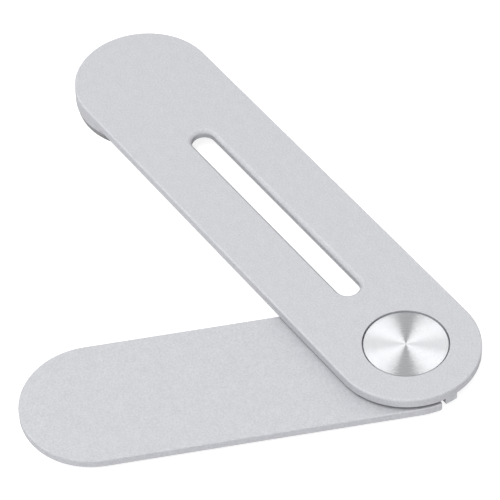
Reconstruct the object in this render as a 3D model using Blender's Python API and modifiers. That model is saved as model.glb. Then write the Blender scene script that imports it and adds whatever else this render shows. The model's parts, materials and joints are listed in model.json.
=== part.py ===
"""Side-mount phone bracket for a laptop lid.

A base plate sticks to the back of the lid with a foam pad. A slotted arm turns on a friction
pivot above it, and carries a magnetic puck under its far end. The puck's face and the pad's face
lie in one plane, z = 0. The origin is the centre of the pad's face, +Z points away from the lid,
and +X runs along the arm, which stands open at its rest angle to the base plate.

Every piece is drawn round the pivot axis, in the frame of the body it belongs to: one empty turns
the base plate's pieces, and another holds the arm's pieces.
"""
from math import asin, cos, degrees, hypot, pi, radians, sin, sqrt

import bmesh
import bpy
from mathutils import Vector

MM = 0.001

# Plates
PLATE_WIDTH = 36.0 * MM
ARM_LENGTH = 112.4 * MM             # pivot to the centre of the far round end
ARM_THICKNESS = 2.35 * MM
ARM_EDGE_ROUND = 0.5 * MM
BASE_LENGTH = 74.8 * MM             # pivot to the centre of the tip's round end
BASE_THICKNESS = 2.11 * MM
BASE_EDGE_CHAMFER = 0.25 * MM
HINGE_GAP = 1.25 * MM               # air between the two plates

# Slot along the arm's middle
SLOT_WIDTH = 6.1 * MM
SLOT_FIRST_CENTRE = 23.6 * MM       # pivot to the centre of the slot's near round end
SLOT_LAST_CENTRE = 85.4 * MM
SLOT_RIM_CHAMFER = 1.0 * MM

# Foam pad under the base plate
PAD_THICKNESS = 1.2 * MM
PAD_INSET = 1.5 * MM
WINDOW_MARGIN = 0.75 * MM            # from the nut's pocket out to the pad's window

# Opening of the arm, from closed over the base plate
REST_ANGLE = radians(65.5)
STOP_ANGLE = radians(68.0)          # where the lug would meet the shoulder
LUG_WIDTH = 3.2 * MM
LUG_DEPTH = 2.35 * MM               # below the arm's underside
LUG_REACH = 2.7 * MM                # from the arm's rim inwards
LUG_CHAMFER = 0.6 * MM
LUG_CLEARANCE = 0.3 * MM            # from the lug's inner face to the stepped-back heel

# Pivot
CAP_DIAMETER = 20.3 * MM
CAP_THICKNESS = 0.55 * MM
CAP_RECESS = 0.27 * MM              # from the arm's top face down to the cap's
CAP_RING_GAP = 0.32 * MM            # the dark ring round the cap
CAP_EDGE_CHAMFER = 0.12 * MM
STUD_HEAD_INSET = 1.65 * MM         # from the cap's edge in to the stud's head
STUD_HEAD_THICKNESS = 0.7 * MM
JOURNAL_DIAMETER = 7.0 * MM
NECK_STEP = 0.5 * MM                # from the journal out to a flat of the square neck
THREAD_DIAMETER = 6.0 * MM
THREAD_FLATS = 5.0 * MM             # across the two flats of the threaded end
THREAD_END_HEIGHT = 0.2 * MM        # end of the stud above the pad's face
THRUST_WASHER_INSET = 3.0 * MM      # from the stepped-back heel in to the washer
BASE_WEB_THICKNESS = 0.8 * MM       # left of the base plate over the pocket
POCKET_DIAMETER = 16.4 * MM
POCKET_CLEARANCE = 0.5 * MM         # from the pocket's wall in to the washers and springs
SLIDE_WASHER_THICKNESS = 0.25 * MM
SPRING_METAL = 0.22 * MM
SPRING_DISH = 0.10 * MM             # height of a disc spring's cone under load
KEYED_WASHER_THICKNESS = 0.35 * MM
NUT_ACROSS_FLATS = 10.0 * MM
NUT_THICKNESS = 0.95 * MM

# Puck under the arm's far end
BOSS_DEPTH = 1.6 * MM               # below the arm's underside
BOSS_WALL = 1.7 * MM
ARM_SKIN = 1.2 * MM                 # left of the arm over the boss's pocket
YOKE_THICKNESS = 1.0 * MM
CARRIER_INSET = 0.25 * MM           # from the boss's wall in to the carrier
CARRIER_EDGE_ROUND = 0.15 * MM
FACE_PAD_INSET = 0.25 * MM          # from the carrier's wall in to the face pad
FACE_PAD_THICKNESS = 0.65 * MM
FACE_PAD_ROUND = 0.3 * MM
MAGNET_COUNT = 6
MAGNET_DIAMETER = 8.0 * MM
MAGNET_HEIGHT = 3.0 * MM
MAGNET_CHAMFER = 0.2 * MM
MAGNET_SPACING = 1.6 * MM           # from one magnet to the next
SCREW_COUNT = 3
SCREW_WALL = 1.05 * MM              # from a screw's head to the magnets beside it
SCREW_DIAMETER = 2.0 * MM
SCREW_HEAD_DIAMETER = 3.6 * MM
SCREW_SOCKET_ACROSS_FLATS = 1.3 * MM
SCREW_SOCKET_DEPTH = 0.55 * MM

# Fits
SEAT_GAP = 0.05 * MM                # film of glue, or air between pieces that bear on each other
RUNNING_GAP = 0.05 * MM             # on the radius of a shaft in its bore
LOOSE_GAP = 0.15 * MM               # on the radius of a screw or magnet in its hole
CUTTER_MARGIN = 1.0 * MM            # how far a cutter runs past the face it breaks
MERGE_DISTANCE = 0.0005 * MM        # points closer than this are one point
SHARP_ANGLE = radians(30.0)         # edges sharper than this aren't shaded as round

# Steps in round outlines
ARC_STEPS = 48                      # on half a circle
CIRCLE_STEPS = 2 * ARC_STEPS        # on a whole circle
FLATTED_STEPS = 24                  # on each round side of a flatted outline
RIM_STEPS = 6                       # on the base plate's rim, from a straight side to a shoulder
LUG_STEPS = 4                       # on the lug's outer face
ROUND_STEPS = 48                    # on a whole turned piece
SMALL_STEPS = 24                    # on a whole small turned piece
ROUND_EDGE_SEGMENTS = 3

# Radii
PLATE_RADIUS = PLATE_WIDTH / 2
RELIEF_RADIUS = PLATE_RADIUS - LUG_REACH - LUG_CLEARANCE
COUNTERBORE_RADIUS = CAP_DIAMETER / 2 + CAP_RING_GAP
JOURNAL_BORE_RADIUS = JOURNAL_DIAMETER / 2 + RUNNING_GAP
THREAD_BORE_RADIUS = THREAD_DIAMETER / 2 + RUNNING_GAP
STUD_HEAD_RADIUS = CAP_DIAMETER / 2 - STUD_HEAD_INSET
NECK_WIDTH = JOURNAL_DIAMETER + 2 * NECK_STEP
THRUST_WASHER_RADIUS = RELIEF_RADIUS - THRUST_WASHER_INSET
WASHER_RADIUS = POCKET_DIAMETER / 2 - POCKET_CLEARANCE
BOSS_POCKET_RADIUS = PLATE_RADIUS - BOSS_WALL
SPIGOT_RADIUS = BOSS_POCKET_RADIUS - LOOSE_GAP
CARRIER_RADIUS = PLATE_RADIUS - CARRIER_INSET
FACE_PAD_RADIUS = CARRIER_RADIUS - FACE_PAD_INSET
MAGNET_CIRCLE_RADIUS = (MAGNET_DIAMETER + MAGNET_SPACING) / 2 / sin(pi / MAGNET_COUNT)
SCREW_TO_MAGNET = (MAGNET_DIAMETER + SCREW_HEAD_DIAMETER) / 2 + SCREW_WALL
SCREW_CIRCLE_RADIUS = (MAGNET_CIRCLE_RADIUS * cos(pi / MAGNET_COUNT)
                       + sqrt(SCREW_TO_MAGNET ** 2 - ((MAGNET_DIAMETER + MAGNET_SPACING) / 2) ** 2))

# Heights above the pad's face, from the lid outwards
PAD_TOP = PAD_THICKNESS
BASE_BOTTOM = PAD_TOP + SEAT_GAP
BASE_TOP = BASE_BOTTOM + BASE_THICKNESS
WEB_BOTTOM = BASE_TOP - BASE_WEB_THICKNESS
ARM_BOTTOM = BASE_TOP + HINGE_GAP
ARM_TOP = ARM_BOTTOM + ARM_THICKNESS
CAP_TOP = ARM_TOP - CAP_RECESS
CAP_BOTTOM = CAP_TOP - CAP_THICKNESS
STUD_HEAD_TOP = CAP_BOTTOM - SEAT_GAP
STUD_HEAD_BOTTOM = STUD_HEAD_TOP - STUD_HEAD_THICKNESS
COUNTERBORE_FLOOR = STUD_HEAD_BOTTOM - SEAT_GAP
NECK_BOTTOM = ARM_BOTTOM + SEAT_GAP
JOURNAL_BOTTOM = WEB_BOTTOM + SEAT_GAP
BOSS_BOTTOM = ARM_BOTTOM - BOSS_DEPTH
BOSS_CEILING = ARM_TOP - ARM_SKIN
YOKE_TOP = BOSS_CEILING - SEAT_GAP
YOKE_BOTTOM = YOKE_TOP - YOKE_THICKNESS
SPIGOT_TOP = YOKE_BOTTOM - SEAT_GAP
CARRIER_TOP = BOSS_BOTTOM - SEAT_GAP
CARRIER_BOTTOM = FACE_PAD_THICKNESS + SEAT_GAP
MAGNET_TOP = SPIGOT_TOP
MAGNET_BOTTOM = MAGNET_TOP - MAGNET_HEIGHT
SCREW_FACE = CARRIER_BOTTOM + SEAT_GAP


def arc(centre_x, radius, start, stop, steps=ARC_STEPS):
    """Points on an arc round (centre_x, 0), from start to stop, with both ends."""
    angles = [start + (stop - start) * step / steps for step in range(steps + 1)]
    return [(centre_x + radius * cos(angle), radius * sin(angle)) for angle in angles]


def slot_outline(first_x, last_x, radius):
    """A strip with two round ends, whose centres lie on X at first_x and last_x."""
    return arc(last_x, radius, -pi / 2, pi / 2) + arc(first_x, radius, pi / 2, 3 * pi / 2)


def circle_outline(centre_x, radius, steps):
    """A whole circle round (centre_x, 0)."""
    return arc(centre_x, radius, -pi / 2, 3 * pi / 2, steps)[:-1]


def polygon_outline(sides, across_flats):
    """A regular polygon round the axis, with a flat at +X when the number of sides is even."""
    radius = across_flats / 2 / cos(pi / sides)
    angles = [2 * pi * (side + 0.5) / sides for side in range(sides)]
    return [(radius * cos(angle), radius * sin(angle)) for angle in angles]


def flatted_outline(radius, across_flats):
    """A circle with two flats that face +Y and -Y."""
    corner = asin(across_flats / 2 / radius)
    right = arc(0, radius, -corner, corner, FLATTED_STEPS)
    return right + arc(0, radius, pi - corner, pi + corner, FLATTED_STEPS)


def base_outline(inset):
    """The base plate's outline, moved inwards by inset.

    The tip and the two sides are a plain strip. Behind the pivot the rim goes on round until a
    shoulder, and steps in there to leave room for the arm's lug. A shoulder is parallel to the
    lug's flank at the stop angle.
    """
    rim = PLATE_RADIUS - inset
    relief = RELIEF_RADIUS - inset
    flank = LUG_WIDTH / 2 + inset
    rim_end = pi - STOP_ANGLE - asin(flank / rim)
    relief_end = pi - STOP_ANGLE - asin(flank / relief)
    tip = arc(BASE_LENGTH, rim, -pi / 2, pi / 2)
    left_rim = arc(0, rim, pi / 2, rim_end, RIM_STEPS)
    heel = arc(0, relief, relief_end, 2 * pi - relief_end)
    right_rim = arc(0, rim, 2 * pi - rim_end, 3 * pi / 2, RIM_STEPS)
    return tip + left_rim + heel + right_rim


def new_collection(name):
    collection = bpy.data.collections.new(name)
    bpy.context.scene.collection.children.link(collection)
    return collection


def material(name, colour, metallic, roughness):
    """A plain Principled material."""
    made = bpy.data.materials.new(name)
    made.use_nodes = True
    shader = made.node_tree.nodes["Principled BSDF"]
    shader.inputs["Base Color"].default_value = (*colour, 1.0)
    shader.inputs["Metallic"].default_value = metallic
    shader.inputs["Roughness"].default_value = roughness
    return made


def body_frame(name, turn):
    """An empty on the pivot axis that holds one body's pieces."""
    frame = bpy.data.objects.new(name, None)
    frame.empty_display_size = PLATE_RADIUS
    frame.location = pivot_place()
    frame.rotation_euler = (0, 0, turn)
    parts.objects.link(frame)
    return frame


def pad_centre_x():
    """Where the middle of the foam pad's length lies, from the pivot."""
    xs = [x for x, _ in base_outline(PAD_INSET)]
    return (min(xs) + max(xs)) / 2


def pivot_place():
    """The pivot axis, placed so that the centre of the pad's face is the origin."""
    reach = pad_centre_x()
    return Vector((-reach * cos(REST_ANGLE), -reach * sin(REST_ANGLE), 0))


def add_part(name, mesh, parent, finish, place=(0, 0, 0)):
    """A named piece in its body's frame, with its material."""
    part = bpy.data.objects.new(name, mesh)
    part.parent = parent
    part.location = place
    mesh.materials.append(finish)
    parts.objects.link(part)
    return part


def add_cutter(name, mesh, parent, place=(0, 0, 0)):
    """A cutting shape, in its own collection and left out of the object."""
    cutter = bpy.data.objects.new(name, mesh)
    cutter.parent = parent
    cutter.location = place
    cutter.hide_render = True
    cutter.display_type = 'WIRE'
    cutters.objects.link(cutter)
    return cutter


def combine(part, tool, operation='DIFFERENCE'):
    """Cut the tool out of the part, or join the tool to it."""
    boolean = part.modifiers.new(tool.name, 'BOOLEAN')
    boolean.operation = operation
    boolean.solver = 'EXACT'
    boolean.object = tool


def prism_mesh(name, outline, low, high, edge=0.0, edge_segments=1):
    """A flat piece between two heights, with its top edge bevelled by edge."""
    shape = bmesh.new()
    ring = [shape.verts.new((x, y, low)) for x, y in outline]
    floor = shape.faces.new(ring)
    raised = bmesh.ops.extrude_face_region(shape, geom=[floor])["geom"]
    top = [item for item in raised if isinstance(item, bmesh.types.BMVert)]
    bmesh.ops.translate(shape, verts=top, vec=(0, 0, high - low))
    bmesh.ops.recalc_face_normals(shape, faces=shape.faces)
    if edge > 0:
        bevel_ring(shape, top, edge, edge_segments)
    mesh = bpy.data.meshes.new(name)
    shape.to_mesh(mesh)
    shape.free()
    return mesh


def bevel_ring(shape, ring, width, segments):
    """Round the edges that join the ring's points in one flat face's rim."""
    ring = set(ring)
    rim = [edge for edge in shape.edges if ring.issuperset(edge.verts)]
    bmesh.ops.bevel(shape, geom=rim, offset=width, offset_type='OFFSET', segments=segments,
                    profile=0.5, affect='EDGES', clamp_overlap=False)


def turned_mesh(name, profile, steps=ROUND_STEPS):
    """A profile of (radius, height) points carried once round Z by a Screw modifier.

    The profile runs down the outer side. It is closed when its first point is also its last.
    """
    shape = bmesh.new()
    points = [shape.verts.new((radius, 0, height)) for radius, height in profile]
    for first, second in zip(points, points[1:]):
        shape.edges.new((first, second))
    bmesh.ops.remove_doubles(shape, verts=shape.verts, dist=MERGE_DISTANCE)
    mesh = bpy.data.meshes.new(name)
    shape.to_mesh(mesh)
    shape.free()
    turner = bpy.data.objects.new(name + "_profile", mesh)
    cutters.objects.link(turner)
    screw = turner.modifiers.new("turn", 'SCREW')
    screw.axis = 'Z'
    screw.steps = steps
    screw.render_steps = steps
    screw.use_merge_vertices = True
    screw.merge_threshold = MERGE_DISTANCE
    bpy.context.view_layer.update()
    evaluated = turner.evaluated_get(bpy.context.evaluated_depsgraph_get())
    turned = bpy.data.meshes.new_from_object(evaluated)
    turned.name = name
    bpy.data.objects.remove(turner)
    turned.shade_smooth()
    turned.set_sharp_from_angle(angle=SHARP_ANGLE)
    return turned


def ring_profile(outer, inner, low, high):
    """A plain washer's section, clockwise from its top outer corner."""
    return [(outer, high), (outer, low), (inner, low), (inner, high), (outer, high)]


def rod_profile(radius, low, high):
    """A plain rod's section."""
    return [(0, high), (radius, high), (radius, low), (0, low)]


def chamfered_disc_profile(radius, low, high, top=0.0, bottom=0.0):
    """A disc's section with its top and bottom edges taken off."""
    points = [(0, high), (radius - top, high)]
    if top > 0:
        points.append((radius, high - top))
    if bottom > 0:
        points.append((radius, low + bottom))
    return points + [(radius - bottom, low), (0, low)]


def circle_places(count, radius, centre_x, first_angle=0.0):
    """Places of a bolt circle's members round (centre_x, 0)."""
    angles = [first_angle + 2 * pi * index / count for index in range(count)]
    return [(centre_x + radius * cos(angle), radius * sin(angle), 0) for angle in angles]


def make_base_plate():
    """Base plate with the pivot's bore, and a pocket under it for the springs and the nut."""
    plate = add_part("base_plate",
                     prism_mesh("base_plate", base_outline(0), BASE_BOTTOM, BASE_TOP, BASE_EDGE_CHAMFER),
                     base_frame, anodised)
    bore = rod_profile(JOURNAL_BORE_RADIUS, BASE_BOTTOM - CUTTER_MARGIN, BASE_TOP + CUTTER_MARGIN)
    combine(plate, add_cutter("base_bore_cutter", turned_mesh("base_bore_cutter", bore), base_frame))
    pocket = rod_profile(POCKET_DIAMETER / 2, BASE_BOTTOM - CUTTER_MARGIN, WEB_BOTTOM)
    combine(plate, add_cutter("base_pocket_cutter", turned_mesh("base_pocket_cutter", pocket), base_frame))


def make_adhesive_pad():
    """Foam pad, set in from the plate's edge, with a window for the nut."""
    pad = add_part("adhesive_pad",
                   prism_mesh("adhesive_pad", base_outline(PAD_INSET), 0, PAD_TOP),
                   base_frame, foam)
    window = rod_profile(POCKET_DIAMETER / 2 + WINDOW_MARGIN, -CUTTER_MARGIN, PAD_TOP + CUTTER_MARGIN)
    combine(pad, add_cutter("pad_window_cutter", turned_mesh("pad_window_cutter", window), base_frame))


def lug_mesh():
    """The stop lug: a block that hangs from the arm's heel, with its lower edges taken off.

    Its outer face follows the rim. It starts inside the plate, so that the two join.
    """
    half = LUG_WIDTH / 2
    side = asin(half / PLATE_RADIUS)
    outer = arc(0, PLATE_RADIUS, pi - side, pi + side, LUG_STEPS)
    inner = LUG_REACH - PLATE_RADIUS
    outline = outer + [(inner, -half), (inner, half)]
    shape = bmesh.new()
    ring = [shape.verts.new((x, y, ARM_BOTTOM + ARM_THICKNESS / 2)) for x, y in outline]
    ceiling = shape.faces.new(ring)
    lowered = bmesh.ops.extrude_face_region(shape, geom=[ceiling])["geom"]
    bottom = [item for item in lowered if isinstance(item, bmesh.types.BMVert)]
    bmesh.ops.translate(shape, verts=bottom, vec=(0, 0, -LUG_DEPTH - ARM_THICKNESS / 2))
    bmesh.ops.recalc_face_normals(shape, faces=shape.faces)
    bevel_ring(shape, bottom, LUG_CHAMFER, 1)
    mesh = bpy.data.meshes.new("stop_lug")
    shape.to_mesh(mesh)
    shape.free()
    return mesh


def make_arm_plate():
    """Arm with its slot, the pivot's counterbore, the stop lug and the puck's boss."""
    plate = add_part("arm_plate",
                     prism_mesh("arm_plate", slot_outline(0, ARM_LENGTH, PLATE_RADIUS), ARM_BOTTOM, ARM_TOP,
                                ARM_EDGE_ROUND, ROUND_EDGE_SEGMENTS),
                     arm_frame, anodised)
    boss = prism_mesh("boss", circle_outline(ARM_LENGTH, PLATE_RADIUS, CIRCLE_STEPS),
                      BOSS_BOTTOM, ARM_BOTTOM + ARM_THICKNESS / 2)
    combine(plate, add_cutter("boss", boss, arm_frame), 'UNION')
    combine(plate, add_cutter("stop_lug", lug_mesh(), arm_frame), 'UNION')

    slot = prism_mesh("slot_cutter", slot_outline(SLOT_FIRST_CENTRE, SLOT_LAST_CENTRE, SLOT_WIDTH / 2),
                      ARM_BOTTOM - CUTTER_MARGIN, ARM_TOP + CUTTER_MARGIN)
    combine(plate, add_cutter("slot_cutter", slot, arm_frame))
    recess = rod_profile(COUNTERBORE_RADIUS, COUNTERBORE_FLOOR, ARM_TOP + CUTTER_MARGIN)
    combine(plate, add_cutter("counterbore_cutter", turned_mesh("counterbore_cutter", recess), arm_frame))
    key = prism_mesh("key_cutter", polygon_outline(4, NECK_WIDTH + 2 * RUNNING_GAP),
                     ARM_BOTTOM - CUTTER_MARGIN, ARM_TOP)
    combine(plate, add_cutter("key_cutter", key, arm_frame))
    pocket = rod_profile(BOSS_POCKET_RADIUS, BOSS_BOTTOM - CUTTER_MARGIN, BOSS_CEILING)
    combine(plate, add_cutter("boss_pocket_cutter", turned_mesh("boss_pocket_cutter", pocket), arm_frame,
                              (ARM_LENGTH, 0, 0)))
    finish_slot_rim(plate)


def finish_slot_rim(plate):
    """Apply the cuts, and chamfer the slot's upper rim."""
    bpy.context.view_layer.update()
    evaluated = plate.evaluated_get(bpy.context.evaluated_depsgraph_get())
    cut_mesh = bpy.data.meshes.new_from_object(evaluated)
    plate.modifiers.clear()
    plate.data = cut_mesh
    shape = bmesh.new()
    shape.from_mesh(cut_mesh)
    rim = [vert for vert in shape.verts if on_slot_rim(vert.co)]
    bevel_ring(shape, rim, SLOT_RIM_CHAMFER, 1)
    shape.to_mesh(cut_mesh)
    shape.free()


def on_slot_rim(point):
    """Whether a point of the arm lies on the slot's upper rim."""
    along = min(max(point.x, SLOT_FIRST_CENTRE), SLOT_LAST_CENTRE)
    off_wall = abs(hypot(point.x - along, point.y) - SLOT_WIDTH / 2)
    return off_wall < SEAT_GAP and abs(point.z - ARM_TOP) < SEAT_GAP


def make_pivot_cap():
    profile = chamfered_disc_profile(CAP_DIAMETER / 2, CAP_BOTTOM, CAP_TOP, top=CAP_EDGE_CHAMFER)
    add_part("pivot_cap", turned_mesh("pivot_cap", profile, CIRCLE_STEPS), arm_frame, turned_metal)


def make_pivot_stud():
    """Stud with a flat round head, a square neck, a journal and a flatted threaded end."""
    head = rod_profile(STUD_HEAD_RADIUS, STUD_HEAD_BOTTOM, STUD_HEAD_TOP)
    stud = add_part("pivot_stud", turned_mesh("pivot_stud", head), arm_frame, steel)
    root = STUD_HEAD_BOTTOM + STUD_HEAD_THICKNESS / 2
    neck = prism_mesh("stud_neck", polygon_outline(4, NECK_WIDTH), NECK_BOTTOM, root)
    combine(stud, add_cutter("stud_neck", neck, arm_frame), 'UNION')
    journal = rod_profile(JOURNAL_DIAMETER / 2, JOURNAL_BOTTOM, root)
    combine(stud, add_cutter("stud_journal", turned_mesh("stud_journal", journal), arm_frame), 'UNION')
    end = prism_mesh("stud_end", flatted_outline(THREAD_DIAMETER / 2, THREAD_FLATS),
                     THREAD_END_HEIGHT, NECK_BOTTOM)
    combine(stud, add_cutter("stud_end", end, arm_frame), 'UNION')


def disc_spring_profile(low, dish_up):
    """A shallow cone's section. The outer edge is the high one when dish_up is true."""
    outer = WASHER_RADIUS
    outer_low, inner_low = (low + SPRING_DISH, low) if dish_up else (low, low + SPRING_DISH)
    return [(outer, outer_low + SPRING_METAL), (outer, outer_low), (THREAD_BORE_RADIUS, inner_low),
            (THREAD_BORE_RADIUS, inner_low + SPRING_METAL), (outer, outer_low + SPRING_METAL)]


def make_washer(name, outer, inner, low, thickness, frame, finish):
    profile = ring_profile(outer, inner, low, low + thickness)
    add_part(name, turned_mesh(name, profile), frame, finish)


def make_friction_stack():
    """Everything on the stud, from the thrust washer between the plates down to the nut."""
    make_washer("thrust_washer", THRUST_WASHER_RADIUS, JOURNAL_BORE_RADIUS,
                BASE_TOP + SEAT_GAP, HINGE_GAP - 2 * SEAT_GAP, base_frame, dark_plastic)
    level = WEB_BOTTOM - SEAT_GAP - SLIDE_WASHER_THICKNESS
    make_washer("slide_washer", WASHER_RADIUS, THREAD_BORE_RADIUS,
                level, SLIDE_WASHER_THICKNESS, base_frame, dark_plastic)
    for name, dish_up in (("disc_spring_upper", True), ("disc_spring_lower", False)):
        level -= SEAT_GAP + SPRING_METAL + SPRING_DISH
        profile = disc_spring_profile(level, dish_up)
        add_part(name, turned_mesh(name, profile), arm_frame, spring_steel)
    level -= SEAT_GAP + KEYED_WASHER_THICKNESS
    washer = add_part("keyed_washer",
                      prism_mesh("keyed_washer", circle_outline(0, WASHER_RADIUS, ROUND_STEPS),
                                 level, level + KEYED_WASHER_THICKNESS),
                      arm_frame, steel)
    keyed_hole = flatted_outline(THREAD_BORE_RADIUS, THREAD_FLATS + 2 * RUNNING_GAP)
    bore = prism_mesh("keyed_bore_cutter", keyed_hole, level - CUTTER_MARGIN, level + CUTTER_MARGIN)
    combine(washer, add_cutter("keyed_bore_cutter", bore, arm_frame))
    level -= SEAT_GAP + NUT_THICKNESS
    hexagon = polygon_outline(6, NUT_ACROSS_FLATS)
    nut = add_part("pivot_nut", prism_mesh("pivot_nut", hexagon, level, level + NUT_THICKNESS),
                   arm_frame, steel)
    thread = rod_profile(THREAD_BORE_RADIUS, level - CUTTER_MARGIN, level + NUT_THICKNESS + CUTTER_MARGIN)
    combine(nut, add_cutter("nut_thread_cutter", turned_mesh("nut_thread_cutter", thread), arm_frame))


def screw_places():
    """The screws stand between the magnets."""
    return circle_places(SCREW_COUNT, SCREW_CIRCLE_RADIUS, ARM_LENGTH, pi / MAGNET_COUNT)


def make_yoke_plate():
    """Steel disc behind the magnets, with a hole for each screw."""
    puck_centre = (ARM_LENGTH, 0, 0)
    disc = rod_profile(SPIGOT_RADIUS, YOKE_BOTTOM, YOKE_TOP)
    yoke = add_part("yoke_plate", turned_mesh("yoke_plate", disc), arm_frame, steel, puck_centre)
    hole = rod_profile(SCREW_DIAMETER / 2 + RUNNING_GAP, YOKE_BOTTOM - CUTTER_MARGIN,
                       YOKE_TOP + CUTTER_MARGIN)
    for index, place in enumerate(screw_places(), 1):
        name = f"yoke_hole_cutter_{index}"
        combine(yoke, add_cutter(name, turned_mesh(name, hole, SMALL_STEPS), arm_frame, place))


def make_magnet_carrier():
    """Plastic disc under the boss, with a spigot up into it, magnet pockets and screw holes."""
    outer = CARRIER_RADIUS
    profile = [(0, SPIGOT_TOP), (SPIGOT_RADIUS, SPIGOT_TOP), (SPIGOT_RADIUS, CARRIER_TOP),
               (outer - CARRIER_EDGE_ROUND, CARRIER_TOP), (outer, CARRIER_TOP - CARRIER_EDGE_ROUND),
               (outer, CARRIER_BOTTOM), (0, CARRIER_BOTTOM)]
    carrier = add_part("magnet_carrier", turned_mesh("magnet_carrier", profile), arm_frame, grey_plastic,
                       (ARM_LENGTH, 0, 0))
    pocket = rod_profile(MAGNET_DIAMETER / 2 + LOOSE_GAP, MAGNET_BOTTOM - SEAT_GAP,
                         MAGNET_TOP + CUTTER_MARGIN)
    for index, place in enumerate(circle_places(MAGNET_COUNT, MAGNET_CIRCLE_RADIUS, ARM_LENGTH), 1):
        name = f"magnet_pocket_cutter_{index}"
        combine(carrier, add_cutter(name, turned_mesh(name, pocket, SMALL_STEPS), arm_frame, place))
    hole = screw_profile(CARRIER_BOTTOM - CUTTER_MARGIN, SPIGOT_TOP + CUTTER_MARGIN, LOOSE_GAP)
    for index, place in enumerate(screw_places(), 1):
        name = f"screw_hole_cutter_{index}"
        combine(carrier, add_cutter(name, turned_mesh(name, hole, SMALL_STEPS), arm_frame, place))


def screw_profile(low, high, clearance=0.0):
    """A countersunk screw's section, head down, or with a clearance the section of its hole."""
    head = SCREW_HEAD_DIAMETER / 2 + clearance
    shank = SCREW_DIAMETER / 2 + clearance
    cone_top = SCREW_FACE + head - shank
    return [(0, high), (shank, high), (shank, cone_top), (head, SCREW_FACE), (head, low), (0, low)]


def make_magnets():
    for index, place in enumerate(circle_places(MAGNET_COUNT, MAGNET_CIRCLE_RADIUS, ARM_LENGTH), 1):
        profile = chamfered_disc_profile(MAGNET_DIAMETER / 2, MAGNET_BOTTOM, MAGNET_TOP, MAGNET_CHAMFER,
                                         MAGNET_CHAMFER)
        name = f"magnet_{index}"
        add_part(name, turned_mesh(name, profile, SMALL_STEPS), arm_frame, nickel, place)


def make_carrier_screws():
    """Three countersunk screws with a hexagon socket, up through the carrier into the yoke."""
    profile = screw_profile(SCREW_FACE, YOKE_TOP)
    for index, place in enumerate(screw_places(), 1):
        name = f"carrier_screw_{index}"
        screw = add_part(name, turned_mesh(name, profile, SMALL_STEPS), arm_frame, steel, place)
        socket = prism_mesh(name + "_socket", polygon_outline(6, SCREW_SOCKET_ACROSS_FLATS),
                            SCREW_FACE - CUTTER_MARGIN, SCREW_FACE + SCREW_SOCKET_DEPTH)
        combine(screw, add_cutter(name + "_socket", socket, arm_frame, place))


def make_face_pad():
    """Soft disc that the phone rests on, with its lower edge taken off."""
    profile = chamfered_disc_profile(FACE_PAD_RADIUS, 0, FACE_PAD_THICKNESS, bottom=FACE_PAD_ROUND)
    add_part("face_pad", turned_mesh("face_pad", profile), arm_frame, soft_rubber, (ARM_LENGTH, 0, 0))


for old in list(bpy.data.objects):
    bpy.data.objects.remove(old)

parts = new_collection("side_mount_phone_bracket")
cutters = new_collection("cutters")
base_frame = body_frame("base_frame", REST_ANGLE)
arm_frame = body_frame("arm_frame", 0.0)

anodised = material("anodised_aluminium", (0.54, 0.545, 0.57), 0.3, 0.55)
turned_metal = material("turned_aluminium", (0.80, 0.80, 0.81), 1.0, 0.25)
steel = material("zinc_plated_steel", (0.55, 0.56, 0.57), 1.0, 0.35)
spring_steel = material("spring_steel", (0.25, 0.26, 0.28), 1.0, 0.35)
nickel = material("nickel_plate", (0.70, 0.69, 0.66), 1.0, 0.2)
dark_plastic = material("dark_plastic", (0.045, 0.046, 0.05), 0.0, 0.5)
grey_plastic = material("grey_plastic", (0.23, 0.232, 0.238), 0.0, 0.5)
soft_rubber = material("soft_rubber", (0.17, 0.172, 0.177), 0.0, 0.7)
foam = material("adhesive_foam", (0.03, 0.03, 0.032), 0.0, 0.8)

make_base_plate()
make_adhesive_pad()
make_arm_plate()
make_pivot_cap()
make_pivot_stud()
make_friction_stack()
make_yoke_plate()
make_magnet_carrier()
make_magnets()
make_carrier_screws()
make_face_pad()

print(f"pivot at {tuple(round(c / MM, 3) for c in pivot_place())} mm, "
      f"opening at rest {degrees(REST_ANGLE):.1f} degrees")
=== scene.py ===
# %% [markdown]
# # Dressing a side-mount phone bracket
#
# The bracket is two aluminium plates on one friction pivot. The base plate sticks to the back of
# a laptop's lid, and the slotted arm above it carries a magnetic puck for a phone. The packed
# model already holds every piece at its right size and place. This lesson gives each visible
# piece a fine surface and a finish, and then sets up a small studio round it.

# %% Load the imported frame
import json
from math import asin, atan2, cos, degrees, pi, radians, sin, tan

import bmesh
import bpy
import numpy as np
from mathutils import Matrix, Vector
from mathutils.geometry import tessellate_polygon


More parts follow.
